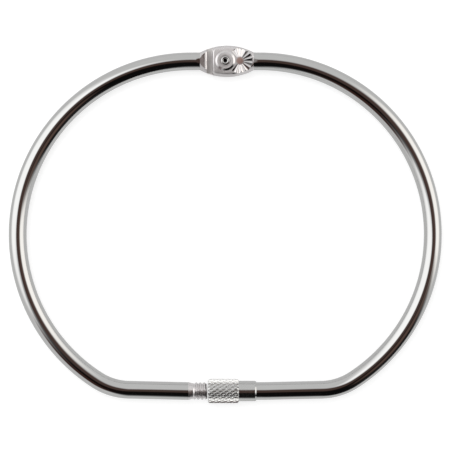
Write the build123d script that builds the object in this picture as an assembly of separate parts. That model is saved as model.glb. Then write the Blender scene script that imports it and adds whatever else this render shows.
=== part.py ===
"""Jailer key ring: two hinged half rings of solid steel rod, closed by a knurled screw sleeve.

The ring lies flat. +X points to the right half, +Y to the hinge and +Z up, out of the ring's plane.
The origin is under the middle of the ring, on the surface that it lies on. The ring is drawn
closed, with the sleeve screwed all the way back onto the right half, so it is ready to open.
"""
import os
from math import cos, radians, sin, sqrt

from build123d import *

# Ring, in millimetres and degrees. The two half rings are one forging, turned over for the left.
ROD_DIAMETER = 5.2
RING_RADIUS = 50.8          # centre line of each half's round stretch
ARC_OFFSET = 10.1           # each round stretch is centred this far outside the middle of the ring
FLAT_DEPTH = 4.9            # the closure lies this far inside the round stretches' lowest point
LEG_TILT = 1.3              # the legs rise a little from the closure to the bends
LEG_START = 11.5            # from the middle of the ring to where a leg begins to rise
LEG_EASE_RADIUS = 60.0      # eases the closure's straight end into the leg
BEND_RADIUS = 18.0          # bend between the leg and the round stretch

# Half-lap hinge head
HEAD_WIDTH = 9.2
HEAD_SIDE_RADIUS = 16.5     # the two bowed sides of the head
BOW_OFFSET = 0.5            # both heads are widest this far to the right of the pivot
FLAT_RUNOUT = 1.2           # the pressed flats run out on the rod this far past the bowed sides
PLATE_THICKNESS = 2.3
LAP_GAP = 0.1               # between the two plates
PLATE_END = 3.75            # from the pivot to the plate's squared end
SHOULDER = 5.4              # from the pivot to the step that the other plate's end faces
PLATE_CORNER_RADIUS = 1.2   # lets the end swing past the other half's shoulder
EDGE_ROUND = 0.55
BOSS_RADIUS = 2.9
BOSS_HEIGHT = 0.5
BOSS_BEVEL = 0.4
SEAT_RADIUS = 1.65          # sunk seat for the rivet's head
SEAT_DEPTH = 0.35

# Fan of flutes pressed into the head beside the boss
FAN_OFFSET = 4.3            # from the pivot to the centre of the fan
FLUTE_COUNT = 11
FAN_SPREAD = 240.0          # degrees
FLUTE_INNER_REACH = 1.2
FLUTE_OUTER_REACH = 3.7
FLUTE_INNER_WIDTH = 0.42
FLUTE_OUTER_WIDTH = 1.35
FLUTE_SLOPE = 0.34          # depth for each millimetre of width

# Semi-tubular rivet
SHANK_DIAMETER = 2.0
RIVET_FIT = 0.05            # running clearance round the shank
RIVET_END_PLAY = 0.05       # under the factory head
ROLL_RADIUS = 1.35
ROLL_HEIGHT = 0.6
ROLL_BEVEL = 0.25
TUBE_BORE = 1.0
TUBE_DEPTH = 2.6
FACTORY_HEAD_RADIUS = 1.48
FACTORY_HEAD_HEIGHT = 0.6
FACTORY_HEAD_BEVEL = 0.5

# Threaded ends
THREAD_DIAMETER = 5.07      # over the crests
THREAD_NECK_DIAMETER = 4.75
THREAD_END_CHAMFER = 0.35
RUNOUT_LENGTH = 1.1         # cone from the neck up to the full rod
NECK_LENGTH = 0.3
JOINT_X = -5.1              # where the two threaded ends meet
JOINT_GAP = 0.2
LEFT_THREAD_LENGTH = 4.4

# Screw sleeve
KNURL_DIAMETER = 7.1
KNURL_LENGTH = 9.1
KNURL_CHAMFER = 0.4
KNURL_TEETH = 22            # round the sleeve
KNURL_ROWS = 5              # diamonds along the sleeve
KNURL_DEPTH = 0.3
SKIRT_DIAMETER = 6.0
SKIRT_LENGTH = 5.1
SKIRT_CHAMFER = 0.25
THREAD_FIT = 0.06           # sleeve bore over the thread crests, on the radius
SKIRT_FIT = 0.07            # skirt bore over the rod, on the radius

# Levels and places that follow
ROD_RADIUS = ROD_DIAMETER / 2
CLOSURE_DROP = RING_RADIUS - FLAT_DEPTH
MID_Z = KNURL_DIAMETER / 2
ARC_Y = (CLOSURE_DROP + KNURL_DIAMETER / 2 - RING_RADIUS - HEAD_WIDTH / 2) / 2
HINGE_Y = ARC_Y + RING_RADIUS
CLOSURE_Y = ARC_Y - CLOSURE_DROP
PLATE_TOP = LAP_GAP / 2 + PLATE_THICKNESS
BOSS_TOP = PLATE_TOP + BOSS_HEIGHT
SEAT_FLOOR = BOSS_TOP - SEAT_DEPTH
SLEEVE_X = JOINT_X
RIGHT_THREAD_LENGTH = KNURL_LENGTH

CLOSURE_AXIS = Axis((0, CLOSURE_Y, 0), (1, 0, 0))


def mix(start, end, share):
    """The value that lies this share of the way from start to end."""
    return start + (end - start) * share


def head_half_width(x, bow_x):
    """Half the width at x of a hinge head that is widest at bow_x."""
    return sqrt(HEAD_SIDE_RADIUS**2 - (x - bow_x) ** 2) - HEAD_SIDE_RADIUS + HEAD_WIDTH / 2


def head_reach(bow_x):
    """Distance from the pivot at which the sides of a head that is widest at bow_x meet the rod."""
    rise = HEAD_SIDE_RADIUS - HEAD_WIDTH / 2 + ROD_RADIUS
    return bow_x + sqrt(HEAD_SIDE_RADIUS**2 - rise**2)


def rod_path(start_x):
    """Centre line of the right half, from the closure at start_x round to the hinge head."""
    along = Vector(cos(radians(LEG_TILT)), sin(radians(LEG_TILT)))
    inward = Vector(-along.Y, along.X)
    arc_centre = Vector(ARC_OFFSET, ARC_Y)
    knee = Vector(LEG_START, CLOSURE_Y)
    to_centre = arc_centre - knee

    ease = LEG_EASE_RADIUS * sin(radians(LEG_TILT)) / (1 + cos(radians(LEG_TILT)))
    lift = to_centre.dot(inward) - BEND_RADIUS
    reach = sqrt((RING_RADIUS - BEND_RADIUS) ** 2 - lift**2)
    bend_start = knee + along * (to_centre.dot(along) + reach)
    bend_centre = bend_start + inward * BEND_RADIUS
    outward = (bend_centre - arc_centre).normalized()
    arc_start = arc_centre + outward * RING_RADIUS
    arc_end = Vector(ARC_OFFSET, HINGE_Y)

    return Wire(
        [
            Line((start_x, CLOSURE_Y), (LEG_START - ease, CLOSURE_Y)),
            TangentArc((LEG_START - ease, CLOSURE_Y), knee + along * ease, tangent=(1, 0)),
            Line(knee + along * ease, bend_start),
            TangentArc(bend_start, arc_start, tangent=along),
            TangentArc(arc_start, arc_end, tangent=(-outward.Y, outward.X)),
        ]
    )


def rod(start_x):
    """The bent rod of the right half."""
    path = rod_path(start_x)
    section = Plane(origin=path @ 0, z_dir=path % 0) * Circle(ROD_RADIUS)
    return sweep(section, path=path)


def threaded_end(end_x, thread_length):
    """Turned end of a rod: thread, neck and the cone up to the full rod."""
    thread_end = end_x + thread_length
    crest = THREAD_DIAMETER / 2
    neck = THREAD_NECK_DIAMETER / 2
    outline = Polyline(
        (end_x, 0),
        (end_x, crest - THREAD_END_CHAMFER),
        (end_x + THREAD_END_CHAMFER, crest),
        (thread_end - NECK_LENGTH, crest),
        (thread_end - NECK_LENGTH + crest - neck, neck),
        (thread_end, neck),
        (thread_end + RUNOUT_LENGTH, ROD_RADIUS),
        (thread_end + RUNOUT_LENGTH, 0),
        close=True,
    )
    profile = Pos(0, CLOSURE_Y) * make_face(outline)
    return revolve(profile, CLOSURE_AXIS)


def head_blank(bow_x):
    """Turned blank of the hinge head: it swells from the rod to the head's bowed sides."""
    reach = head_reach(bow_x)
    end_half_width = head_half_width(-PLATE_END, bow_x)
    outline = [
        Polyline((-PLATE_END, end_half_width), (-PLATE_END, 0), (ARC_OFFSET, 0)),
        Polyline((ARC_OFFSET, 0), (ARC_OFFSET, ROD_RADIUS), (reach, ROD_RADIUS)),
        ThreePointArc(
            (reach, ROD_RADIUS),
            (bow_x, HEAD_WIDTH / 2),
            (-PLATE_END, end_half_width),
        ),
    ]
    profile = make_face(Curve() + outline)
    return Pos(0, HINGE_Y, 0) * revolve(profile, Axis.X)


def pressed_flats(bow_x):
    """What the press takes off the blank: a flat on each face that runs out onto the rod."""
    clear = 2 * HEAD_WIDTH
    flat_end = head_reach(bow_x) + FLAT_RUNOUT
    wedge = Polyline(
        (-clear, PLATE_TOP),
        (SHOULDER, PLATE_TOP),
        (flat_end, ROD_RADIUS),
        (flat_end, clear),
        (-clear, clear),
        close=True,
    )
    upper = Pos(0, HINGE_Y, 0) * extrude(Plane.XZ * make_face(wedge), clear, both=True)
    return upper + mirror(upper, Plane.XY)


def lap_cut():
    """Room for the other half's plate behind this one."""
    width = 2 * HEAD_WIDTH
    room = Box(width, width, width, align=(Align.MAX, Align.CENTER, Align.MAX))
    return Pos(SHOULDER, HINGE_Y, LAP_GAP / 2) * room


def hinge_head(bow_x):
    """Right half's head: pressed flat, lapped to half its thickness, its corners and rim eased."""
    head = head_blank(bow_x) - pressed_flats(bow_x) - lap_cut()
    end = head.faces().sort_by(Axis.X)[0]
    head = fillet(end.edges().filter_by(GeomType.CIRCLE), PLATE_CORNER_RADIUS)
    face = head.faces().filter_by(Plane.XY).sort_by(Axis.Z)[-1]
    rim = face.edges().sort_by(Axis.X)[:-1]
    return fillet(rim, EDGE_ROUND)


def boss():
    """Round boss that stands on the plate round the rivet."""
    blank = Cylinder(BOSS_RADIUS, BOSS_HEIGHT + EDGE_ROUND, align=(Align.CENTER, Align.CENTER, Align.MAX))
    blank = Pos(0, HINGE_Y, BOSS_TOP) * blank
    return chamfer(blank.edges().group_by(Axis.Z)[-1], BOSS_BEVEL)


def rivet_hole():
    """Sunk seat and running hole that the plate and its boss have round the rivet."""
    seat = Cylinder(SEAT_RADIUS, BOSS_HEIGHT, align=(Align.CENTER, Align.CENTER, Align.MIN))
    hole = Cylinder(SHANK_DIAMETER / 2 + RIVET_FIT, 2 * BOSS_TOP)
    return Pos(0, HINGE_Y, SEAT_FLOOR) * seat + Pos(0, HINGE_Y, BOSS_TOP) * hole


def flute_cutter():
    """V-shaped cutter of one flute: it sinks, and so widens, away from the fan's centre."""
    inner_depth = FLUTE_INNER_WIDTH * FLUTE_SLOPE
    outer_depth = FLUTE_OUTER_WIDTH * FLUTE_SLOPE
    height = 2 * outer_depth
    half_width = height / (2 * FLUTE_SLOPE)
    section = Polyline((-half_width, height), (0, 0), (half_width, height), close=True)
    start = Plane((FLUTE_INNER_REACH, 0, -inner_depth), x_dir=(0, 1, 0), z_dir=(1, 0, 0))
    sink = Vector(FLUTE_OUTER_REACH - FLUTE_INNER_REACH, 0, inner_depth - outer_depth)
    return extrude(start * make_face(section), sink.length, dir=sink)


def flutes():
    """Tapered flutes that fan out from beside the boss towards the rod."""
    cutter = flute_cutter()
    fan = []
    for index in range(FLUTE_COUNT):
        turn = FAN_SPREAD * (index / (FLUTE_COUNT - 1) - 0.5)
        fan.append(Pos(FAN_OFFSET, HINGE_Y, PLATE_TOP) * Rot(0, 0, turn) * cutter)
    return fan


def half_ring(end_x, thread_length, bow_x):
    """Right half ring, in the ring's middle plane: rod, threaded end and hinge head."""
    head = hinge_head(bow_x) - flutes()
    head = head + boss() - rivet_hole()
    body = rod(end_x + thread_length + RUNOUT_LENGTH) + threaded_end(end_x, thread_length)
    return body + head


def right_half_ring():
    return half_ring(JOINT_X, RIGHT_THREAD_LENGTH, BOW_OFFSET)


def left_half_ring():
    turned_end = JOINT_GAP - JOINT_X
    return Rot(0, 180, 0) * half_ring(turned_end, LEFT_THREAD_LENGTH, -BOW_OFFSET)


def hinge_rivet():
    """Semi-tubular rivet: rolled over in the front seat, factory head in the rear one."""
    shank = SHANK_DIAMETER / 2
    head_seat = -SEAT_FLOOR - RIVET_END_PLAY
    head_top = head_seat - FACTORY_HEAD_HEIGHT
    roll_top = SEAT_FLOOR + ROLL_HEIGHT
    tube = TUBE_BORE / 2
    outline = Polyline(
        (0, head_top),
        (FACTORY_HEAD_RADIUS - FACTORY_HEAD_BEVEL, head_top),
        (FACTORY_HEAD_RADIUS, head_top + FACTORY_HEAD_BEVEL / 2),
        (FACTORY_HEAD_RADIUS, head_seat),
        (shank, head_seat),
        (shank, SEAT_FLOOR),
        (ROLL_RADIUS, SEAT_FLOOR),
        (ROLL_RADIUS, roll_top - ROLL_BEVEL),
        (ROLL_RADIUS - ROLL_BEVEL, roll_top),
        (tube + ROLL_BEVEL, roll_top),
        (tube, roll_top - ROLL_BEVEL),
        (tube, roll_top - TUBE_DEPTH),
        (0, roll_top - TUBE_DEPTH),
        close=True,
    )
    profile = Plane.XZ * make_face(outline)
    return Pos(0, HINGE_Y, 0) * revolve(profile, Axis.Z)


def knurl_point(column, row):
    """Corner of the diamond knurl: crests and crossings of the grooves take turns."""
    radius = KNURL_DIAMETER / 2 - KNURL_DEPTH * ((column + row) % 2)
    turn = radians(180 * column / KNURL_TEETH)
    return Vector(row * KNURL_LENGTH / (2 * KNURL_ROWS), radius * cos(turn), radius * sin(turn))


def knurled_bar():
    """Bar with a diamond knurl all over its side, from x = 0 along +X."""
    columns = 2 * KNURL_TEETH
    rows = 2 * KNURL_ROWS
    rings = [[knurl_point(column, row) for column in range(columns)] for row in range(rows + 1)]
    faces = [Face(Wire.make_polygon(rings[0])), Face(Wire.make_polygon(rings[-1]))]
    for row in range(rows):
        for column in range(columns):
            corners = [
                rings[row][column],
                rings[row][column - 1],
                rings[row + 1][column - 1],
                rings[row + 1][column],
            ]
            # The quad folds along the groove, from one crossing to the next.
            if (column + row) % 2 == 0:
                corners = corners[1:] + corners[:1]
            faces.append(Face(Wire.make_polygon(corners[:3])))
            faces.append(Face(Wire.make_polygon(corners[2:] + corners[:1])))
    return Solid(Shell(faces))


def screw_sleeve():
    """Turned sleeve: threaded knurled head, and a plain skirt that hides the spare thread."""
    end = KNURL_LENGTH + SKIRT_LENGTH
    rim = KNURL_DIAMETER / 2 - KNURL_CHAMFER
    chamfer_run = KNURL_CHAMFER + KNURL_DEPTH
    skirt = SKIRT_DIAMETER / 2
    thread_bore = THREAD_DIAMETER / 2 + THREAD_FIT
    skirt_bore = ROD_RADIUS + SKIRT_FIT
    turned_head = Polyline(
        (0, 0),
        (0, rim),
        (chamfer_run, rim + chamfer_run),
        (KNURL_LENGTH - chamfer_run, rim + chamfer_run),
        (KNURL_LENGTH, rim),
        (KNURL_LENGTH, 0),
        close=True,
    )
    turned_skirt = Polyline(
        (KNURL_LENGTH, 0),
        (KNURL_LENGTH, skirt),
        (end - SKIRT_CHAMFER, skirt),
        (end, skirt - SKIRT_CHAMFER),
        (end, 0),
        close=True,
    )
    bores = Polyline(
        (0, 0),
        (0, thread_bore + THREAD_FIT),
        (THREAD_FIT, thread_bore),
        (KNURL_LENGTH, thread_bore),
        (KNURL_LENGTH, skirt_bore),
        (end, skirt_bore),
        (end, 0),
        close=True,
    )
    head = knurled_bar() & revolve(make_face(turned_head), Axis.X)
    sleeve = head + revolve(make_face(turned_skirt), Axis.X) - revolve(make_face(bores), Axis.X)
    return Pos(SLEEVE_X, CLOSURE_Y, 0) * sleeve


PARTS = {
    "right_half_ring": right_half_ring,
    "left_half_ring": left_half_ring,
    "hinge_rivet": hinge_rivet,
    "screw_sleeve": screw_sleeve,
}

os.makedirs("parts", exist_ok=True)
for name, make in PARTS.items():
    export_step(Pos(0, 0, MID_Z) * make(), f"parts/{name}.step")
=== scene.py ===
"""Jailer key ring of chrome-plated steel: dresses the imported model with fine, shaded pieces.

The ring lies flat on the floor, the hinge towards +Y and the screw sleeve towards -Y. Both half
rings are the same forging, so the left one is the right one turned over about the Y axis.
"""
from math import atan2, cos, pi, radians, sin, sqrt, tan

import bmesh
import bpy
from bpy.props import FloatProperty, IntProperty, PointerProperty, StringProperty
from bpy.types import Operator, Panel, PropertyGroup
from mathutils import Matrix, Vector


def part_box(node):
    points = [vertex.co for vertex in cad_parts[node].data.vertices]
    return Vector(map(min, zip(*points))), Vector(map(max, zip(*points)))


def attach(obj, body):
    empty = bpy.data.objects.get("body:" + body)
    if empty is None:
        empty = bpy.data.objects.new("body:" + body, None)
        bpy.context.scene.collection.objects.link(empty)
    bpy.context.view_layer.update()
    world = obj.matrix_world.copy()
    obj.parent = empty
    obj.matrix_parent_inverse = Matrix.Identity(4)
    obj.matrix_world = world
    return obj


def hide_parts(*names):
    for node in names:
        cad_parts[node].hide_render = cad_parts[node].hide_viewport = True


bl_info = {
    "name": "Jailer key ring",
    "version": (1, 0, 0),
    "blender": (4, 5, 0),
    "location": "3D View > Sidebar > Key ring",
    "description": "Builds a hinged key ring with a knurled screw sleeve around its packed model",
    "category": "Object",
}

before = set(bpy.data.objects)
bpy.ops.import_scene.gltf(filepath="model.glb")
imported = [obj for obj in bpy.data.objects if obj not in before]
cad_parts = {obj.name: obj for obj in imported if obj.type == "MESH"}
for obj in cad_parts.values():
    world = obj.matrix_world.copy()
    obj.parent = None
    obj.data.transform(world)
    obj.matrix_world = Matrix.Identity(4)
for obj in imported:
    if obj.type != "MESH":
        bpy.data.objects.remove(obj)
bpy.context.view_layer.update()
MM = 0.001
WELD = 1e-6                 # points closer than this are one, in metres
SHARP = radians(22)         # a steeper fold than this stays a crisp edge
NEAR = 0.02 * MM            # how far off a solid's corner may lie from its stated place

SLEEVE_LOW, SLEEVE_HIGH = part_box("screw_sleeve")
RIVET_LOW, RIVET_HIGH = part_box("hinge_rivet")
MID_Z = (SLEEVE_LOW.z + SLEEVE_HIGH.z) / 2
CLOSURE_Y = (SLEEVE_LOW.y + SLEEVE_HIGH.y) / 2
HINGE_Y = (RIVET_LOW.y + RIVET_HIGH.y) / 2
JOINT_X = SLEEVE_LOW.x      # end of the right half's thread, flush with the backed-off sleeve
TURNED_OVER = Matrix.Translation((0, 0, 2 * MID_Z)) @ Matrix.Diagonal((-1, 1, -1, 1))


def millimetres(name, description, default):
    """A length property whose default is given in millimetres."""
    return FloatProperty(
        name=name, description=description, default=default * MM, unit="LENGTH", precision=5
    )


class RodSizes(PropertyGroup):
    """Sizes of the bent rod that both half rings are made from."""

    diameter: millimetres("Diameter", "Thickness of the rod", 5.2)
    ring_radius: millimetres("Ring radius", "Centre line of each round stretch", 50.785)
    arc_offset: millimetres("Arc offset", "Each round stretch is centred this far out", 10.1)
    leg_tilt: FloatProperty(
        name="Leg tilt", description="Rise of the legs", default=radians(1.3), subtype="ANGLE"
    )
    leg_start: millimetres("Leg start", "From the middle to where a leg begins to rise", 11.5)
    leg_ease: millimetres("Leg ease", "Radius that eases the closure into the leg", 60)
    bend_radius: millimetres("Bend radius", "Bend between the leg and the ring", 18)
    sides: IntProperty(name="Sides", description="Facets round the rod", default=56, min=12)
    arc_steps: IntProperty(name="Arc steps", description="Facets along it", default=110, min=12)


class ThreadSizes(PropertyGroup):
    """Sizes of the screw thread on both closing ends."""

    diameter: millimetres("Diameter", "Over the crests", 5.07)
    depth: millimetres("Depth", "From crest to root", 0.36)
    pitch: millimetres("Pitch", "From crest to crest", 1.155)
    neck_diameter: millimetres("Neck", "Plain neck behind the thread", 4.6)
    neck_length: millimetres("Neck length", "Length of the plain neck", 0.3)
    runout: millimetres("Runout", "Cone from the neck up to the rod", 1.1)
    chamfer: millimetres("Chamfer", "At the end of the thread", 0.35)
    left_length: millimetres("Left length", "Thread on the left half ring", 4.4)
    right_length: millimetres("Right length", "Thread on the right half ring", 9.1)
    joint_gap: millimetres("Joint gap", "Between the two threaded ends", 0.2)


class SleeveSizes(PropertyGroup):
    """Sizes of the knurled screw sleeve."""

    knurl_diameter: millimetres("Knurl diameter", "Over the crests of the knurl", 7.1)
    knurl_length: millimetres("Knurl length", "Length of the knurled head", 9.1)
    knurl_depth: millimetres("Knurl depth", "From crest to groove", 0.27)
    chamfer: millimetres("Chamfer", "At both ends of the knurl", 0.4)
    teeth: IntProperty(name="Teeth", description="Diamonds round the sleeve", default=22, min=6)
    rows: IntProperty(name="Rows", description="Diamonds along the sleeve", default=5, min=1)
    skirt_diameter: millimetres("Skirt diameter", "Plain skirt over the rod", 6.0)
    skirt_length: millimetres("Skirt length", "Length of the plain skirt", 5.1)
    wall_fit: millimetres("Wall fit", "Play round the thread and the rod", 0.07)
    skirt_bevel: millimetres("Skirt bevel", "At the end of the skirt", 0.25)


class HeadSizes(PropertyGroup):
    """Sizes of the forged hinge heads."""

    right_reach: millimetres("Right reach", "From the pivot to the right half's rod", 8.37)
    left_reach: millimetres("Left reach", "From the pivot to the left half's rod", 7.37)
    runout: millimetres("Runout", "The flats run out on the rod over this length", 1.18)
    flat_height: millimetres("Flat height", "From the middle plane to each flat", 2.35)
    shoulder: millimetres("Shoulder", "From the pivot to the step behind the plate", 5.4)
    shoulder_bevel: millimetres("Shoulder bevel", "Length of the slope on the step's edge", 0.65)
    shoulder_drop: millimetres("Shoulder drop", "Depth of the slope on the step's edge", 0.25)
    boss_radius: millimetres("Boss radius", "Raised boss round the rivet", 2.9)
    boss_bevel: millimetres("Boss bevel", "Slope round the boss", 0.4)
    boss_ease: millimetres("Boss ease", "Polishing draws the slope this far in", 0.15)
    boss_height: millimetres("Boss height", "From the flat to the top of the boss", 0.5)
    fan_offset: millimetres("Fan offset", "From the pivot to the middle of the fan", 4.3)
    fan_reach: millimetres("Fan reach", "From the middle of the fan to its rim", 4.4)
    fan_middle: millimetres("Fan middle", "Bare spot between the flutes", 1.25)


class RivetSizes(PropertyGroup):
    """Sizes of the semi-tubular hinge rivet."""

    roll_radius: millimetres("Roll radius", "Rolled-over head in the front seat", 1.35)
    roll_height: millimetres("Roll height", "Height of the rolled head", 0.6)
    tube_radius: millimetres("Tube radius", "Hole in the rolled head", 0.5)
    tube_depth: millimetres("Tube depth", "Depth of the hole", 2.6)
    shank_radius: millimetres("Shank radius", "Shank inside both plates", 1.0)
    head_radius: millimetres("Head radius", "Factory head in the rear seat", 1.48)
    head_height: millimetres("Head height", "Height of the factory head", 0.6)


class KeyRingSettings(PropertyGroup):
    """Everything that can be set for the key ring."""

    rod: PointerProperty(type=RodSizes)
    thread: PointerProperty(type=ThreadSizes)
    sleeve: PointerProperty(type=SleeveSizes)
    head: PointerProperty(type=HeadSizes)
    rivet: PointerProperty(type=RivetSizes)
    chrome: StringProperty(name="Chrome", description="Colour of the plating", default="#C4C4C3")
    warm_chrome: StringProperty(
        name="Warm chrome", description="Colour of the plating over the forging", default="#DAD7D7"
    )
    worn: StringProperty(
        name="Worn plating", description="Warm tone where the plating is thin", default="#B08E84"
    )
    # Paler than the plate: painted light, which lifts the shade in the lap's narrow gap.
    milled_painted_light: StringProperty(name="Milled", description="Mating faces of the lap", default="#F2F0EF")
    bright: StringProperty(name="Bright nickel", description="Over the knurl", default="#E2E2E1")
    # Near-black inside the rivet's hole: bare steel, darkened further as painted shade.
    bare_and_painted_shade: StringProperty(name="Bare steel", description="In the rivet's hole", default="#4A4542")
    floor: StringProperty(name="Floor", description="Colour of the floor", default="#B4B4B4")


# Materials

WAVE = 4 * MM               # slow waves that bending and buffing leave
HAIRLINE = 0.25 * MM        # polishing leaves them 0.05 mm wide: drawn coarser, so that they show
CLOUD = 7 * MM              # patches where handling has dulled the plate
CLOUD_EDGES = (0.3, 0.75)   # noise at which a patch begins and is full
CLOUD_DULLING = (0.6, 1.7)  # roughness outside and inside a patch, over the finish's own
CLOUD_SHADE = 0.93          # brightness of the plate inside a patch
HOLLOW_FADE = (1.1, 0.5)    # where the hollow's colour begins and is full, over its radius
HOLLOW_COVER = 0.85         # how far that colour takes over from the plate's


def linear(hex_colour, brightness=1.0):
    """An sRGB hex colour as linear red, green and blue, times a brightness, and an alpha of 1."""
    channels = [int(hex_colour[i : i + 2], 16) / 255 for i in (1, 3, 5)]
    curve = [c / 12.92 if c <= 0.04045 else ((c + 0.055) / 1.055) ** 2.4 for c in channels]
    return (*(brightness * c for c in curve), 1.0)


def add_node(tree, kind, inputs=None, **settings):
    """Adds a node, sets its properties, and fills or links its inputs."""
    node = tree.nodes.new(kind)
    for name, value in settings.items():
        setattr(node, name, value)
    for key, value in (inputs or {}).items():
        if isinstance(value, bpy.types.NodeSocket):
            tree.links.new(value, node.inputs[key])
        else:
            node.inputs[key].default_value = value
    return node


def new_material(name):
    """An empty material with its output node."""
    material = bpy.data.materials.new(name)
    material.use_nodes = True
    material.node_tree.nodes.clear()
    output = add_node(material.node_tree, "ShaderNodeOutputMaterial")
    return material, material.node_tree, output


def tint_hollow(tree, place, colour, middle, radius, tone):
    """Warms the colour round a hollow that takes little chrome, and fades it out past its rim."""
    distance = add_node(
        tree, "ShaderNodeVectorMath", {0: place, 1: tuple(middle)}, operation="DISTANCE"
    )
    cover = add_node(
        tree,
        "ShaderNodeMapRange",
        {
            "Value": distance.outputs["Value"],
            "From Min": HOLLOW_FADE[0] * radius,
            "From Max": HOLLOW_FADE[1] * radius,
            "To Max": HOLLOW_COVER,
        },
        interpolation_type="SMOOTHSTEP",
    )
    warmed = add_node(
        tree,
        "ShaderNodeMix",
        {"Factor": cover.outputs["Result"], "A": colour, "B": linear(tone)},
        data_type="RGBA",
    )
    return warmed.outputs["Result"]


def crown_flats(tree, place, normal, crown):
    """Bends the light as if the hinge's flats fell away on both sides of its middle line."""
    across = add_node(tree, "ShaderNodeSeparateXYZ", {"Vector": place}).outputs["Y"]
    off_middle = add_node(tree, "ShaderNodeMath", {0: across, 1: HINGE_Y}, operation="SUBTRACT")
    square = add_node(
        tree,
        "ShaderNodeMath",
        {0: off_middle.outputs[0], 1: off_middle.outputs[0]},
        operation="MULTIPLY",
    )
    fall = add_node(tree, "ShaderNodeMath", {0: square.outputs[0], 1: -crown}, operation="MULTIPLY")
    crowned = add_node(
        tree,
        "ShaderNodeBump",
        {"Height": fall.outputs[0], "Distance": 1.0, "Strength": 1.0, "Normal": normal},
    )
    return crowned.outputs["Normal"]


def plated_steel(name, colour, polish, wave_height, line_depth, hollow=None, crown=0):
    """Nickel-chrome plate: the polish is its roughness, and height and depth are in millimetres.

    A hollow that takes little chrome is given by its middle, its radius and its colour. The
    crown is how fast the flats fall away, in metres over metres squared.
    """
    material, tree, output = new_material(name)
    place = add_node(tree, "ShaderNodeTexCoord").outputs["Object"]
    waves = add_node(
        tree, "ShaderNodeTexNoise", {"Vector": place, "Scale": 1 / WAVE, "Detail": 1.0}
    )
    hairlines = add_node(
        tree,
        "ShaderNodeTexNoise",
        {"Vector": place, "Scale": 1 / HAIRLINE, "Detail": 3.0, "Roughness": 0.6},
    )
    clouds = add_node(
        tree, "ShaderNodeTexNoise", {"Vector": place, "Scale": 1 / CLOUD, "Detail": 4.0}
    )
    roughness = add_node(
        tree,
        "ShaderNodeMapRange",
        {
            "Value": clouds.outputs["Fac"],
            "From Min": CLOUD_EDGES[0],
            "From Max": CLOUD_EDGES[1],
            "To Min": CLOUD_DULLING[0] * polish,
            "To Max": CLOUD_DULLING[1] * polish,
        },
    )
    clouded = add_node(
        tree,
        "ShaderNodeMix",
        {"Factor": clouds.outputs["Fac"], "A": linear(colour), "B": linear(colour, CLOUD_SHADE)},
        data_type="RGBA",
    )
    base = clouded.outputs["Result"]
    if hollow:
        base = tint_hollow(tree, place, base, *hollow)
    wavy = add_node(
        tree,
        "ShaderNodeBump",
        {"Height": waves.outputs["Fac"], "Distance": wave_height * MM, "Strength": 1.0},
    )
    normal = wavy.outputs["Normal"]
    if crown:
        normal = crown_flats(tree, place, normal, crown)
    fine = add_node(
        tree,
        "ShaderNodeBump",
        {
            "Height": hairlines.outputs["Fac"],
            "Distance": line_depth * MM,
            "Strength": 1.0,
            "Normal": normal,
        },
    )
    shader = add_node(
        tree,
        "ShaderNodeBsdfPrincipled",
        {
            "Base Color": base,
            "Metallic": 1.0,
            "Roughness": roughness.outputs["Result"],
            "Normal": fine.outputs["Normal"],
        },
    )
    tree.links.new(shader.outputs["BSDF"], output.inputs["Surface"])
    return material


def make_materials(settings):
    """The finishes of the key ring, by the names that the pieces use."""
    head = settings.head
    chrome, warm_chrome = settings.chrome, settings.warm_chrome
    fan_middle = Vector((head.fan_offset, HINGE_Y, MID_Z + head.flat_height))
    hollow = (fan_middle, head.fan_middle, settings.worn)
    return {
        # Drawn rod, bent, polished and plated: a mirror with the faintest waves along it.
        "rod": plated_steel("chrome_plated_steel_drawn_and_polished", chrome, 0.025, 0.003, 0.0003),
        # Drop-forged head, plated over a surface that the wheel hardly reaches: bright, but
        # blurred, with a warm hollow in the middle of the flutes.
        "forging": plated_steel(
            "chrome_plated_steel_forged", warm_chrome, 0.42, 0.02, 0.008, hollow, crown=18
        ),
        # Mating faces of the lap, finished on the mill and never rubbed: pale satin. Their base
        # colour is painted paler than the plate's, as painted light that lifts the shade falling in
        # the narrow gap behind the step.
        "milled_painted_light": plated_steel(
            "chrome_plated_steel_milled_painted_light", settings.milled_painted_light, 0.5, 0.002, 0.003
        ),
        # Flutes, boss and step struck by the die: smoother than the rest of the forging, so
        # each flank flashes light or dark.
        "fluted": plated_steel("chrome_plated_steel_die_struck", warm_chrome, 0.1, 0.006, 0.002),
        # Hard rivet, rolled over cold: bright with a soft blur.
        "rivet": plated_steel("chrome_plated_steel_cold_rolled", chrome, 0.13, 0.004, 0.002),
        # Inside of the rivet's hole, where no plating settles: bare steel. Its near-black colour is
        # painted shade for the deep, narrow hole.
        "hole": plated_steel("bare_steel_drilled_oiled_painted_shade", settings.bare_and_painted_shade, 0.3, 0.002, 0.002),
        # Rolled thread, never polished: soft, light flanks.
        "thread": plated_steel(
            "chrome_plated_steel_rolled_thread", warm_chrome, 0.24, 0.002, 0.002
        ),
        # Turned skirt: a mirror, a little softer than the rod's.
        "turned": plated_steel("chrome_plated_steel_turned", chrome, 0.1, 0.002, 0.0006),
        # Knurled by a pair of wheels that press diamonds up out of the metal: satin crests.
        "knurl": plated_steel(
            "chrome_plated_steel_diamond_knurled", settings.bright, 0.2, 0.002, 0.003
        ),
    }


# Shaping


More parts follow.
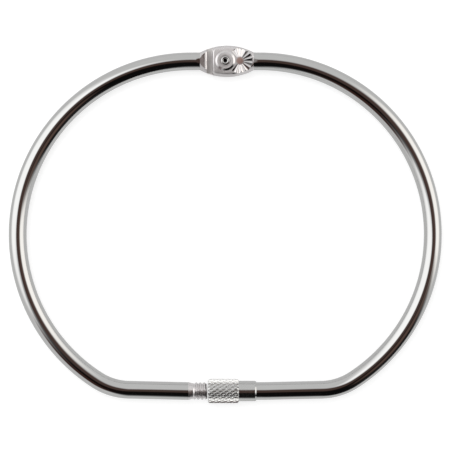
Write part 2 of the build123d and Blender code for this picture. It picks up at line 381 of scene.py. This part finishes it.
def lathe(mesh, outline, centre, axis, steps):
    """Turns an outline of (along, radius) points about an axis through the centre."""
    axis = Vector(axis)
    outward = axis.orthogonal().normalized()
    points = [
        mesh.verts.new(Vector(centre) + axis * along + outward * radius)
        for along, radius in outline
    ]
    lines = [mesh.edges.new(pair) for pair in zip(points, points[1:])]
    bmesh.ops.spin(
        mesh,
        geom=points + lines,
        cent=centre,
        axis=axis,
        angle=2 * pi,
        steps=steps,
        use_merge=True,
        use_normal_flip=False,
        use_duplicate=False,
    )
    bmesh.ops.remove_doubles(mesh, verts=mesh.verts, dist=WELD)


def close_ends(mesh):
    """Fills every open loop with one face."""
    open_edges = [e for e in mesh.edges if e.is_boundary]
    if open_edges:
        bmesh.ops.edgeloop_fill(mesh, edges=open_edges)


def cut_across(mesh, x, facing, discard):
    """Cuts a mesh across at x, and may discard what lies beyond."""
    bmesh.ops.bisect_plane(
        mesh,
        geom=mesh.verts[:] + mesh.edges[:] + mesh.faces[:],
        plane_co=(x, 0, 0),
        plane_no=(facing, 0, 0),
        clear_outer=discard,
    )


def set_radius(vertex, radius):
    """Moves a vertex straight in or out to this distance from the closure's axis."""
    arm = Vector((0, vertex.co.y - CLOSURE_Y, vertex.co.z - MID_Z))
    arm *= radius / arm.length
    vertex.co = Vector((vertex.co.x, CLOSURE_Y + arm.y, MID_Z + arm.z))


def limit_radius(mesh, limit):
    """Brings every vertex that stands further than limit(x) from the closure's axis back to it."""
    for vertex in mesh.verts:
        off_axis = Vector((0, vertex.co.y - CLOSURE_Y, vertex.co.z - MID_Z))
        allowed = limit(vertex.co.x)
        if off_axis.length > allowed:
            set_radius(vertex, allowed)


def finish_piece(mesh, name, body, materials, node, turned_over=False):
    """Makes the object, smooths it and hands it to the frame."""
    if turned_over:
        bmesh.ops.transform(mesh, matrix=TURNED_OVER, verts=mesh.verts)
    bmesh.ops.remove_doubles(mesh, verts=mesh.verts, dist=WELD)
    bmesh.ops.recalc_face_normals(mesh, faces=mesh.faces)
    data = bpy.data.meshes.new(name)
    mesh.to_mesh(data)
    mesh.free()
    # A shape cut from a solid still carries the solid's own shading, which no longer fits it.
    if data.has_custom_normals:
        data.attributes.remove(data.attributes["custom_normal"])
    data.shade_smooth()
    data.set_sharp_from_angle(angle=SHARP)
    for material in materials:
        data.materials.append(material)
    piece = bpy.data.objects.new(name, data)
    bpy.context.scene.collection.objects.link(piece)
    weighting = piece.modifiers.new("Weighted normals", "WEIGHTED_NORMAL")
    weighting.keep_sharp = True
    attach(piece, body)
    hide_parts(node)


# Rods

STEEP_LENGTH = 0.85         # share of the runout cone's length that is steep
STEEP_RISE = 0.93           # share of its rise there: the rest eases into the rod
EASE_STEPS, LEG_STEPS, BEND_STEPS = 4, 8, 24


def rod_bends(rod):
    """Points, centres and angles of the right half's centre line, in the order they come."""
    along = Vector((cos(rod.leg_tilt), sin(rod.leg_tilt), 0))
    inward = Vector((-along.y, along.x, 0))
    arc_centre = Vector((rod.arc_offset, HINGE_Y - rod.ring_radius, MID_Z))
    knee = Vector((rod.leg_start, CLOSURE_Y, MID_Z))
    ease = rod.leg_ease * tan(rod.leg_tilt / 2)
    to_centre = arc_centre - knee
    lift = to_centre.dot(inward) - rod.bend_radius
    reach = sqrt((rod.ring_radius - rod.bend_radius) ** 2 - lift**2)
    bend_start = knee + along * (to_centre.dot(along) + reach)
    bend_centre = bend_start + inward * rod.bend_radius
    outward = (bend_centre - arc_centre).normalized()
    ease_start = Vector((rod.leg_start - ease, CLOSURE_Y, MID_Z))
    return {
        "ease_start": ease_start,
        "ease_centre": ease_start + Vector((0, rod.leg_ease, 0)),
        "leg": bend_start - (knee + along * ease),
        "bend_centre": bend_centre,
        "bend_angle": atan2((-inward).cross(outward).z, (-inward).dot(outward)),
        "arc_centre": arc_centre,
        "arc_angle": atan2(outward.x, outward.y),
    }


def push(mesh, edges, step, widen=1.0):
    """Extrudes a loop of edges by a step, and widens it about its own centre."""
    grown = bmesh.ops.extrude_edge_only(mesh, edges=edges)["geom"]
    verts = [g for g in grown if isinstance(g, bmesh.types.BMVert)]
    bmesh.ops.translate(mesh, vec=step, verts=verts)
    centre = sum((v.co for v in verts), Vector()) / len(verts)
    bmesh.ops.scale(mesh, vec=(widen,) * 3, space=Matrix.Translation(-centre), verts=verts)
    return [g for g in grown if isinstance(g, bmesh.types.BMEdge) and g.is_boundary]


def swing(mesh, edges, centre, angle, steps):
    """Sweeps a loop of edges round a centre in the ring's plane."""
    swept = bmesh.ops.spin(
        mesh, geom=edges, cent=centre, axis=(0, 0, 1), angle=angle, steps=steps, use_merge=False
    )["geom_last"]
    return [g for g in swept if isinstance(g, bmesh.types.BMEdge)]


def bent_rod(settings, end_x, thread_length, head_end):
    """The rod of one half ring, from its threaded end round to the hinge head.

    Its first faces, the neck and the cone behind the thread, take the second finish.
    """
    rod = settings.rod
    thread = settings.thread
    bends = rod_bends(rod)
    start = Vector((end_x + thread_length - thread.neck_length, CLOSURE_Y, MID_Z))
    widen = rod.diameter / thread.neck_diameter
    part_widen = 1 + STEEP_RISE * (widen - 1)
    mesh = bmesh.new()
    bmesh.ops.create_circle(
        mesh,
        cap_ends=True,
        radius=thread.neck_diameter / 2,
        segments=rod.sides,
        matrix=Matrix.Translation(start) @ Matrix.Rotation(pi / 2, 4, "Y"),
    )
    loop = push(mesh, list(mesh.edges), Vector((thread.neck_length, 0, 0)))
    loop = push(mesh, loop, Vector((STEEP_LENGTH * thread.runout, 0, 0)), part_widen)
    ease = (1 - STEEP_LENGTH) * thread.runout
    loop = push(mesh, loop, Vector((ease, 0, 0)), widen / part_widen)
    unpolished = len(mesh.faces)
    straight = bends["ease_start"].x - end_x - thread_length - thread.runout
    loop = push(mesh, loop, Vector((straight, 0, 0)))
    loop = swing(mesh, loop, bends["ease_centre"], rod.leg_tilt, EASE_STEPS)
    for _ in range(LEG_STEPS):
        loop = push(mesh, loop, bends["leg"] / LEG_STEPS)
    loop = swing(mesh, loop, bends["bend_centre"], bends["bend_angle"], BEND_STEPS)
    loop = swing(mesh, loop, bends["arc_centre"], bends["arc_angle"], rod.arc_steps)
    push(mesh, loop, Vector((head_end - rod.arc_offset, 0, 0)))
    close_ends(mesh)
    for number, face in enumerate(mesh.faces):
        face.material_index = int(number < unpolished)
    return mesh


# Threads

# One turn's outline, as shares of the pitch along and of the depth up from the root.
THREAD_FORM = ((0, 0), (0.1, 0), (0.36, 1), (0.64, 1), (0.9, 0), (1, 0))
THREAD_SIDES = 40
THREAD_SPARE = 1.5          # turns made past each end, and cut off again
TUCK_DEPTH = 0.05 * MM      # the thread's last turn ends this far inside the neck
TUCK_SLOPE = 0.5            # and sinks towards that end by this much for its length


def screw_thread(settings, end_x, length):
    """A closed, helical thread along +X from end_x."""
    thread = settings.thread
    crest = thread.diameter / 2
    root = crest - thread.depth
    start = end_x - THREAD_SPARE * thread.pitch
    turns = int(length / thread.pitch + 2 * THREAD_SPARE)
    mesh = bmesh.new()
    points = [
        mesh.verts.new((start + along * thread.pitch, CLOSURE_Y, MID_Z + root + up * thread.depth))
        for along, up in THREAD_FORM
    ]
    lines = [mesh.edges.new(pair) for pair in zip(points, points[1:])]
    bmesh.ops.spin(
        mesh,
        geom=points + lines,
        cent=(0, CLOSURE_Y, MID_Z),
        axis=(1, 0, 0),
        dvec=(thread.pitch / THREAD_SIDES, 0, 0),
        angle=2 * pi * turns,
        steps=THREAD_SIDES * turns,
        use_merge=False,
    )
    bmesh.ops.remove_doubles(mesh, verts=mesh.verts, dist=NEAR)
    far = end_x + length
    cut_across(mesh, end_x, -1, True)
    cut_across(mesh, far, 1, True)
    close_ends(mesh)
    tip = crest - thread.chamfer
    tucked = thread.neck_diameter / 2 - TUCK_DEPTH
    limit_radius(mesh, lambda x: min(tip + (x - end_x), tucked + TUCK_SLOPE * (far - x)))
    return mesh


# Hinge heads

# The mating faces' finish has a paler colour, painted light against the shade in the lap's gap.
HEAD_FINISHES = ("forging", "rod", "fluted", "milled_painted_light", "thread")
FORGED, ROD, STRUCK, MILLED_PAINTED_LIGHT, ROLLED = range(5)
MERGED_FOLD = radians(0.6)  # triangles that fold less than this become one face
# How far each kind of face leans, as the lowest and highest upright part of its normal.
FLUTE_LEAN = (0.75, 0.9)
BOSS_LEAN = (0.5, 0.95)
STEP_LEAN = (0.6, 0.97)
STEP_TWIST = 0.1            # the step's slope hardly looks sideways
LEVEL = 0.99                # a face with more than this lies flat
BACK = 0.9                  # a flat further back than this share of the flats' height is the back
LAP_DEPTH = 0.2 * MM        # the mating faces lie nearer than this to the middle plane


def shape_head(mesh, head, facing):
    """Slopes the edge of the step behind the plate, and draws in the rim of the boss."""
    rim = head.boss_radius - head.boss_bevel
    boss_top = MID_Z + facing * (head.flat_height + head.boss_height)
    for vertex in mesh.verts:
        place = vertex.co
        # The step's outer half drops away in a slope that catches the light.
        outward = facing * (MID_Z - place.z) / head.flat_height
        if abs(facing * place.x - head.shoulder) < NEAR and outward > 0.5:
            place.z += facing * head.shoulder_drop * (2 * outward - 1)
        # Polishing has drawn the boss's slope inwards.
        middle = Vector((0, HINGE_Y, place.z))
        arm = place - middle
        if abs(place.z - boss_top) < NEAR and abs(arm.length - rim) < 2 * NEAR:
            vertex.co = middle + arm * (1 - head.boss_ease / rim)


def finish_by_place(mesh, head, facing):
    """Gives every face that isn't the rod's the finish for its place and for how it leans."""
    pivot = Vector((0, HINGE_Y, 0))
    fan = Vector((facing * head.fan_offset, HINGE_Y, 0))
    boss_top = head.boss_radius - head.boss_bevel - head.boss_ease
    for face in mesh.faces:
        if face.material_index == ROD:
            continue
        middle = face.calc_center_median()
        behind = facing * (MID_Z - middle.z)
        past_step = facing * middle.x - head.shoulder
        middle.z = 0
        lean = abs(face.normal.z)
        in_fan = (middle - fan).length < head.fan_reach
        on_boss = boss_top < (middle - pivot).length < head.boss_radius
        on_step = 0 < past_step < head.shoulder_bevel and abs(face.normal.y) < STEP_TWIST
        if (
            (in_fan and FLUTE_LEAN[0] < facing * face.normal.z < FLUTE_LEAN[1])
            or (on_boss and BOSS_LEAN[0] < lean < BOSS_LEAN[1])
            or (on_step and STEP_LEAN[0] < lean < STEP_LEAN[1])
        ):
            face.material_index = STRUCK
        elif lean < LEVEL:
            face.material_index = FORGED
        elif past_step > head.shoulder_bevel and behind > BACK * head.flat_height:
            face.material_index = ROLLED
        # The mating faces take the paler colour, painted light that lifts the shade in the lap's
        # gap.
        elif abs(behind) < LAP_DEPTH:
            face.material_index = MILLED_PAINTED_LIGHT
        else:
            face.material_index = FORGED


def hinge_head(settings, node, facing):
    """The forged head of a half ring, taken from its solid and cut off where the flats run out."""
    head = settings.head
    reach = head.right_reach if facing > 0 else head.left_reach
    slope_end = head.shoulder + head.shoulder_bevel
    mesh = bmesh.new()
    mesh.from_mesh(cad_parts[node].data)
    bmesh.ops.remove_doubles(mesh, verts=mesh.verts, dist=WELD)
    cut_across(mesh, facing * (reach + head.runout), facing, True)
    cut_across(mesh, facing * reach, facing, False)
    cut_across(mesh, facing * slope_end, facing, False)
    # The cut leaves the half ring's other end, by the closure.
    closing_end = [v for v in mesh.verts if v.co.y < 0]
    bmesh.ops.delete(mesh, geom=closing_end, context="VERTS")
    close_ends(mesh)
    shape_head(mesh, head, facing)
    # Stretches that differ in finish are told apart first, so that no face merges across them.
    for face in mesh.faces:
        past = facing * face.calc_center_median().x
        if past > reach:
            face.material_index = ROD
        elif head.shoulder < past < slope_end:
            face.material_index = ROLLED
        else:
            face.material_index = FORGED
    bmesh.ops.dissolve_limit(
        mesh,
        angle_limit=MERGED_FOLD,
        verts=mesh.verts,
        edges=mesh.edges,
        delimit={"NORMAL", "MATERIAL"},
    )
    finish_by_place(mesh, head, facing)
    return mesh


# Sleeve

KNURL_WALL = 0.25 * MM      # the knurled ring reaches this far in under the skirt's surface
KNURL_END = 0.04 * MM       # bare edge at both ends of the knurl
DIAMOND_FLANK = 0.72        # share of a diamond's half width that its flank takes up
DIAMOND_LIFT = 1.05         # its point is pressed up past the crest, and comes back to it
COLLAR_DROP = 0.02 * MM     # the body's end faces stay this far under the knurl's rim
LEAD_IN = 0.12 * MM         # chamfer where the thread enters the sleeve
SKIRT_BEVEL_LENGTH = 1.5    # length of the skirt's bevel, over its depth
SLEEVE_SIDES = 72


def knurled_band(settings):
    """Closed ring of diamond knurl: a lattice of diamonds, each pressed up to a blunt point."""
    sleeve = settings.sleeve
    crest = sleeve.knurl_diameter / 2
    valley = crest - sleeve.knurl_depth
    inside = sleeve.skirt_diameter / 2 - KNURL_WALL
    length = sleeve.knurl_length - 2 * KNURL_END
    centre = Vector((JOINT_X + KNURL_END, CLOSURE_Y, MID_Z))
    mesh = bmesh.new()
    bmesh.ops.create_circle(
        mesh,
        cap_ends=False,
        radius=valley,
        segments=sleeve.teeth,
        matrix=Matrix.Translation(centre) @ Matrix.Rotation(pi / 2, 4, "Y"),
    )
    loop = list(mesh.edges)
    for _ in range(sleeve.rows):
        loop = push(mesh, loop, Vector((length / sleeve.rows, 0, 0)))
    # Poked rectangles without their own edges leave diamonds that stand on their points.
    lines = [e for e in mesh.edges if e.is_manifold]
    middles = bmesh.ops.poke(mesh, faces=mesh.faces)["verts"]
    for vertex in middles:
        set_radius(vertex, valley)
    bmesh.ops.dissolve_edges(mesh, edges=lines)
    bmesh.ops.recalc_face_normals(mesh, faces=mesh.faces)
    half_wide = pi * valley / sleeve.teeth
    half_long = length / (2 * sleeve.rows)
    slant = half_wide * half_long / sqrt(half_wide**2 + half_long**2)
    bmesh.ops.inset_individual(
        mesh,
        faces=mesh.faces[:],
        thickness=DIAMOND_FLANK * slant,
        depth=DIAMOND_LIFT * sleeve.knurl_depth,
    )
    far = JOINT_X + sleeve.knurl_length
    rim = crest - sleeve.chamfer
    limit_radius(mesh, lambda x: min(crest, rim + (x - JOINT_X), rim + (far - x)))
    rims = [e for e in mesh.edges if e.is_boundary]
    grown = bmesh.ops.extrude_edge_only(mesh, edges=rims)["geom"]
    inner = [g for g in grown if isinstance(g, bmesh.types.BMVert)]
    shrink = (1, inside / valley, inside / valley)
    bmesh.ops.scale(mesh, vec=shrink, space=Matrix.Translation(-centre), verts=inner)
    bmesh.ops.bridge_loops(mesh, edges=[e for e in mesh.edges if e.is_boundary])
    return mesh


def sleeve_core(settings):
    """Bored body of the sleeve: it carries the knurl, and its skirt covers the spare thread."""
    sleeve = settings.sleeve
    knurl = sleeve.knurl_length
    end = knurl + sleeve.skirt_length
    thread_bore = settings.thread.diameter / 2 + sleeve.wall_fit
    skirt_bore = settings.rod.diameter / 2 + sleeve.wall_fit
    skirt = sleeve.skirt_diameter / 2
    collar = sleeve.knurl_diameter / 2 - sleeve.chamfer - COLLAR_DROP
    outline = [
        (LEAD_IN, thread_bore),
        (0, thread_bore + LEAD_IN),
        (0, collar),
        (knurl, collar),
        (knurl, skirt),
        (end - SKIRT_BEVEL_LENGTH * sleeve.skirt_bevel, skirt),
        (end, skirt - sleeve.skirt_bevel),
        (end, skirt_bore),
        (knurl, skirt_bore),
        (knurl, thread_bore),
        (LEAD_IN, thread_bore),
    ]
    mesh = bmesh.new()
    lathe(mesh, outline, (JOINT_X, CLOSURE_Y, MID_Z), (1, 0, 0), SLEEVE_SIDES)
    return mesh


# Rivet

# Domed underside of the factory head: millimetres up and share of its radius.
FACTORY_DOME = ((0, 0), (0.04, 0.5), (0.16, 0.8), (0.34, 1))
ROLL_STEPS = 10
DRILL_TIP = 0.6             # height of the hole's pointed bottom, over its radius
RIVET_SIDES = 64


def rivet_body(settings):
    """Semi-tubular rivet: rolled over in front, with its factory head behind.

    The faces inside its hole take the second finish.
    """
    rivet = settings.rivet
    top, bottom = RIVET_HIGH.z, RIVET_LOW.z
    seat = top - rivet.roll_height
    head_seat = bottom + rivet.head_height
    hole_end = top - rivet.tube_depth
    outline = [(bottom + up * MM, share * rivet.head_radius) for up, share in FACTORY_DOME]
    outline += [
        (head_seat, rivet.head_radius),
        (head_seat, rivet.shank_radius),
        (seat, rivet.shank_radius),
        (seat, rivet.roll_radius),
    ]
    middle = (rivet.roll_radius + rivet.tube_radius) / 2
    half = (rivet.roll_radius - rivet.tube_radius) / 2
    for step in range(ROLL_STEPS + 1):
        turn = pi * step / ROLL_STEPS
        outline.append((top - half + half * sin(turn), middle + half * cos(turn)))
    outline += [(hole_end + DRILL_TIP * rivet.tube_radius, rivet.tube_radius), (hole_end, 0)]
    mesh = bmesh.new()
    lathe(mesh, outline, (0, HINGE_Y, 0), (0, 0, 1), RIVET_SIDES)
    for face in mesh.faces:
        place = face.calc_center_median()
        off_axis = (place - Vector((0, HINGE_Y, place.z))).length
        in_hole = off_axis < rivet.tube_radius and hole_end < place.z < seat
        # The faces inside the hole take the near-black colour, which is painted shade.
        face.material_index = int(in_hole)
    return mesh


# Stage

STUDIO_GREY = 0.88          # light grey walls, as a mirror shows them
FLOOR_MIRRORED = 0.70       # the floor, as a mirror shows it
FLOOR_LIT = 0.36            # the floor's own brightness under the lamp and the sky
FLOOR_SEEN = 1.02           # the floor, as the camera sees it: white, but for the ring's shadow
FLOOR_HALF_WIDTH = 1.5      # metres
SKY = 0.75                  # brightness of the plain light from all round
WHITE = (1, 1, 1, 1)

# Soft screens and dark gaps round the table. Each has the direction of its middle, as degrees
# from +X and degrees down from overhead, the degrees within which it is full and past which it
# has faded out, its brightness, and its tint. A later one hangs in front of those before it.
STUDIO_SCREENS = {
    "left screen": (165, 52, 10, 42, 1.72, "#FFFFFF"),
    "right screen": (14, 58, 10, 41, 1.72, "#FFFCF8"),
    "gap overhead": (-16, 11, 11, 30, 0.145, "#FFD2C0"),
    "dark front, left": (-92, 34, 21, 42, 0.010, "#FFD8CC"),
    "dark front, right": (-60, 60, 25, 48, 0.006, "#FFFFFF"),
    "brown edge, left": (-130, 56, 4, 23, 0.060, "#FFB09E"),
    "brown edge, right": (-34, 42, 6, 20, 0.150, "#FFD2BE"),
    "gap overhead, left": (-148, 1, 9, 19, 0.100, "#FFD2C4"),
    "left screen, top": (145, 28, 7, 23, 1.72, "#FFFFFF"),
    "doorway, right": (-48, 84, 10, 24, 0.030, "#FFFFFF"),
}

LAMP_PLACE = (-0.15, 0.25, 0.7)
LAMP_WIDTH = 0.5            # metres
LAMP_POWER = 2.0            # watts
CAMERA_HEIGHT = 0.52        # metres over the rods' middle plane
CAMERA_X, CAMERA_Y = -0.07 * MM, -0.18 * MM
SEEN_WIDTH = 132 * MM       # what the camera sees across, at that plane
SENSOR_WIDTH = 36           # millimetres


def make_floor(settings):
    """A plain pale floor that keeps the ring's shadow."""
    mesh = bmesh.new()
    bmesh.ops.create_grid(mesh, x_segments=1, y_segments=1, size=FLOOR_HALF_WIDTH)
    data = bpy.data.meshes.new("floor")
    mesh.to_mesh(data)
    mesh.free()
    floor = bpy.data.objects.new("floor", data)
    bpy.context.scene.collection.objects.link(floor)
    # Matt painted board: plain and pale, with no gloss.
    material, tree, output = new_material("matt_painted_board")
    rays = add_node(tree, "ShaderNodeLightPath")
    board = add_node(tree, "ShaderNodeBsdfDiffuse", {"Color": linear(settings.floor)})
    mirrored = add_node(
        tree,
        "ShaderNodeMath",
        {0: rays.outputs["Is Glossy Ray"], 1: FLOOR_MIRRORED - FLOOR_LIT},
        operation="MULTIPLY",
    )
    lift = add_node(
        tree,
        "ShaderNodeMath",
        {0: rays.outputs["Is Camera Ray"], 1: FLOOR_SEEN - FLOOR_LIT, 2: mirrored.outputs[0]},
        operation="MULTIPLY_ADD",
    )
    glow = add_node(tree, "ShaderNodeEmission", {"Color": WHITE, "Strength": lift.outputs[0]})
    both = add_node(tree, "ShaderNodeAddShader", {0: board.outputs[0], 1: glow.outputs[0]})
    tree.links.new(both.outputs[0], output.inputs["Surface"])
    data.materials.append(material)


def hang_screen(tree, direction, surroundings, name, screen):
    """Mixes one round, soft-edged screen over the colour of the surroundings."""
    azimuth, tilt, full, faded, brightness, tint = screen
    azimuth, tilt = radians(azimuth), radians(tilt)
    middle = (sin(tilt) * cos(azimuth), sin(tilt) * sin(azimuth), cos(tilt))
    nearness = add_node(
        tree, "ShaderNodeVectorMath", {0: direction, 1: middle}, operation="DOT_PRODUCT"
    )
    cover = add_node(
        tree,
        "ShaderNodeMapRange",
        {
            "Value": nearness.outputs["Value"],
            "From Min": cos(radians(faded)),
            "From Max": cos(radians(full)),
        },
        interpolation_type="SMOOTHSTEP",
    )
    mixed = add_node(
        tree,
        "ShaderNodeMix",
        {"Factor": cover.outputs["Result"], "A": surroundings, "B": linear(tint, brightness)},
        data_type="RGBA",
        label=name,
    )
    return mixed.outputs["Result"]


def make_surroundings(scene):
    """White to the camera, soft plain light for the floor, and screens for the mirror finish."""
    world = bpy.data.worlds.new("soft_studio")
    world.use_nodes = True
    scene.world = world
    tree = world.node_tree
    tree.nodes.clear()
    direction = add_node(tree, "ShaderNodeTexCoord").outputs["Generated"]
    surroundings = (STUDIO_GREY, STUDIO_GREY, STUDIO_GREY, 1)
    for name, screen in STUDIO_SCREENS.items():
        surroundings = hang_screen(tree, direction, surroundings, name, screen)
    mirrored = add_node(tree, "ShaderNodeBackground", {"Color": surroundings, "Strength": 1.0})
    plain = add_node(tree, "ShaderNodeBackground", {"Color": WHITE, "Strength": SKY})
    white = add_node(tree, "ShaderNodeBackground", {"Color": WHITE, "Strength": 1.0})
    rays = add_node(tree, "ShaderNodeLightPath")
    lit = add_node(
        tree,
        "ShaderNodeMixShader",
        {0: rays.outputs["Is Glossy Ray"], 1: plain.outputs[0], 2: mirrored.outputs[0]},
    )
    seen = add_node(
        tree,
        "ShaderNodeMixShader",
        {0: rays.outputs["Is Camera Ray"], 1: lit.outputs[0], 2: white.outputs[0]},
    )
    add_node(tree, "ShaderNodeOutputWorld", {"Surface": seen.outputs[0]})


def make_lamp():
    """A large soft lamp overhead, a little to the hinge side."""
    lamp_data = bpy.data.lights.new("soft_lamp", "AREA")
    lamp_data.shape = "DISK"
    lamp_data.size = LAMP_WIDTH
    lamp_data.energy = LAMP_POWER
    lamp = bpy.data.objects.new("soft_lamp", lamp_data)
    lamp.location = LAMP_PLACE
    lamp.rotation_mode = "QUATERNION"
    lamp.rotation_quaternion = Vector(LAMP_PLACE).to_track_quat("Z", "Y")
    lamp.visible_glossy = False
    bpy.context.scene.collection.objects.link(lamp)


def make_camera(scene):
    """Looks straight down on the ring, with the hinge at the top."""
    camera_data = bpy.data.cameras.new("camera")
    camera_data.sensor_width = SENSOR_WIDTH
    camera_data.lens = SENSOR_WIDTH * CAMERA_HEIGHT / SEEN_WIDTH
    camera = bpy.data.objects.new("camera", camera_data)
    camera.location = (CAMERA_X, CAMERA_Y, MID_Z + CAMERA_HEIGHT)
    scene.collection.objects.link(camera)
    scene.camera = camera


# Operators

MADE_FINISHES = {}


def finishes(settings, *names):
    """The named finishes, all of which are made at the first call."""
    if not MADE_FINISHES:
        MADE_FINISHES.update(make_materials(settings))
    return [MADE_FINISHES[name] for name in names]


def finish_half_piece(mesh, side, piece, materials, turned_over=False):
    """Finishes a piece of the right or the left half ring."""
    node = side + "_half_ring"
    name = side + "_" + piece
    finish_piece(mesh, name, side + "_half", materials, node, turned_over)


class KEYRING_OT_rods(Operator):
    """Bends the plated rods of both half rings"""

    bl_idname = "keyring.rods"
    bl_label = "Bent rods"
    bl_options = {"REGISTER", "UNDO"}

    def execute(self, context):
        settings = context.scene.key_ring
        thread, head = settings.thread, settings.head
        materials = finishes(settings, "rod", "thread")
        right_end = head.right_reach + head.runout
        right = bent_rod(settings, JOINT_X, thread.right_length, right_end)
        finish_half_piece(right, "right", "rod", materials)
        left_start = thread.joint_gap - JOINT_X
        left_end = head.left_reach + head.runout
        left = bent_rod(settings, left_start, thread.left_length, left_end)
        finish_half_piece(left, "left", "rod", materials, turned_over=True)
        return {"FINISHED"}


class KEYRING_OT_threads(Operator):
    """Cuts the screw threads on both closing ends"""

    bl_idname = "keyring.threads"
    bl_label = "Threaded ends"
    bl_options = {"REGISTER", "UNDO"}

    def execute(self, context):
        settings = context.scene.key_ring
        thread = settings.thread
        materials = finishes(settings, "thread")
        right = screw_thread(settings, JOINT_X, thread.right_length - thread.neck_length)
        finish_half_piece(right, "right", "thread", materials)
        left_start = thread.joint_gap - JOINT_X
        left = screw_thread(settings, left_start, thread.left_length - thread.neck_length)
        finish_half_piece(left, "left", "thread", materials, turned_over=True)
        return {"FINISHED"}


class KEYRING_OT_hinge_heads(Operator):
    """Takes the forged hinge heads of both half rings from their solids"""

    bl_idname = "keyring.hinge_heads"
    bl_label = "Hinge heads"
    bl_options = {"REGISTER", "UNDO"}

    def execute(self, context):
        settings = context.scene.key_ring
        materials = finishes(settings, *HEAD_FINISHES)
        for side, facing in (("right", 1), ("left", -1)):
            head = hinge_head(settings, side + "_half_ring", facing)
            finish_half_piece(head, side, "hinge_head", materials)
        return {"FINISHED"}


class KEYRING_OT_rivet(Operator):
    """Rolls the semi-tubular rivet over in its seat"""

    bl_idname = "keyring.rivet"
    bl_label = "Hinge rivet"
    bl_options = {"REGISTER", "UNDO"}

    def execute(self, context):
        settings = context.scene.key_ring
        rivet = rivet_body(settings)
        materials = finishes(settings, "rivet", "hole")
        finish_piece(rivet, "rolled_rivet", "right_half", materials, "hinge_rivet")
        return {"FINISHED"}


class KEYRING_OT_sleeve(Operator):
    """Turns and knurls the screw sleeve"""

    bl_idname = "keyring.sleeve"
    bl_label = "Screw sleeve"
    bl_options = {"REGISTER", "UNDO"}

    def execute(self, context):
        settings = context.scene.key_ring
        for name, mesh, finish in (
            ("sleeve_knurl", knurled_band(settings), "knurl"),
            ("sleeve_body", sleeve_core(settings), "turned"),
        ):
            materials = finishes(settings, finish)
            finish_piece(mesh, name, "sleeve", materials, "screw_sleeve")
        return {"FINISHED"}


class KEYRING_OT_stage(Operator):
    """Sets the floor, the studio surroundings, the lamp and the camera"""

    bl_idname = "keyring.stage"
    bl_label = "Stage"
    bl_options = {"REGISTER", "UNDO"}

    def execute(self, context):
        make_floor(context.scene.key_ring)
        make_surroundings(context.scene)
        make_lamp()
        make_camera(context.scene)
        context.scene.view_settings.view_transform = "Standard"
        return {"FINISHED"}


class VIEW3D_PT_key_ring(Panel):
    """Shows the key ring's settings and lists the steps that build it"""

    bl_idname = "VIEW3D_PT_key_ring"
    bl_label = "Key ring"
    bl_space_type = "VIEW_3D"
    bl_region_type = "UI"
    bl_category = "Key ring"

    def draw(self, context):
        settings = context.scene.key_ring
        parts = (settings.rod, settings.thread, settings.sleeve, settings.head, settings.rivet)
        for group in (*parts, settings):
            box = self.layout.box()
            for setting in group.bl_rna.properties:
                if setting.identifier not in {"rna_type", "name"} and setting.type != "POINTER":
                    box.prop(group, setting.identifier)
        for operator in OPERATORS:
            self.layout.operator(operator.bl_idname)


OPERATORS = (
    KEYRING_OT_rods,
    KEYRING_OT_threads,
    KEYRING_OT_hinge_heads,
    KEYRING_OT_rivet,
    KEYRING_OT_sleeve,
    KEYRING_OT_stage,
)
CLASSES = (
    RodSizes,
    ThreadSizes,
    SleeveSizes,
    HeadSizes,
    RivetSizes,
    KeyRingSettings,
    *OPERATORS,
    VIEW3D_PT_key_ring,
)


def register():
    """Adds the settings, the operators and the panel to Blender."""
    for cls in CLASSES:
        bpy.utils.register_class(cls)
    bpy.types.Scene.key_ring = PointerProperty(type=KeyRingSettings)


def unregister():
    """Takes them out again."""
    del bpy.types.Scene.key_ring
    for cls in reversed(CLASSES):
        bpy.utils.unregister_class(cls)


def main():
    """Builds the key ring on its stage."""
    register()
    bpy.ops.keyring.rods()
    bpy.ops.keyring.threads()
    bpy.ops.keyring.hinge_heads()
    bpy.ops.keyring.rivet()
    bpy.ops.keyring.sleeve()
    bpy.ops.keyring.stage()
    bpy.context.view_layer.update()


if __name__ == "__main__":
    main()
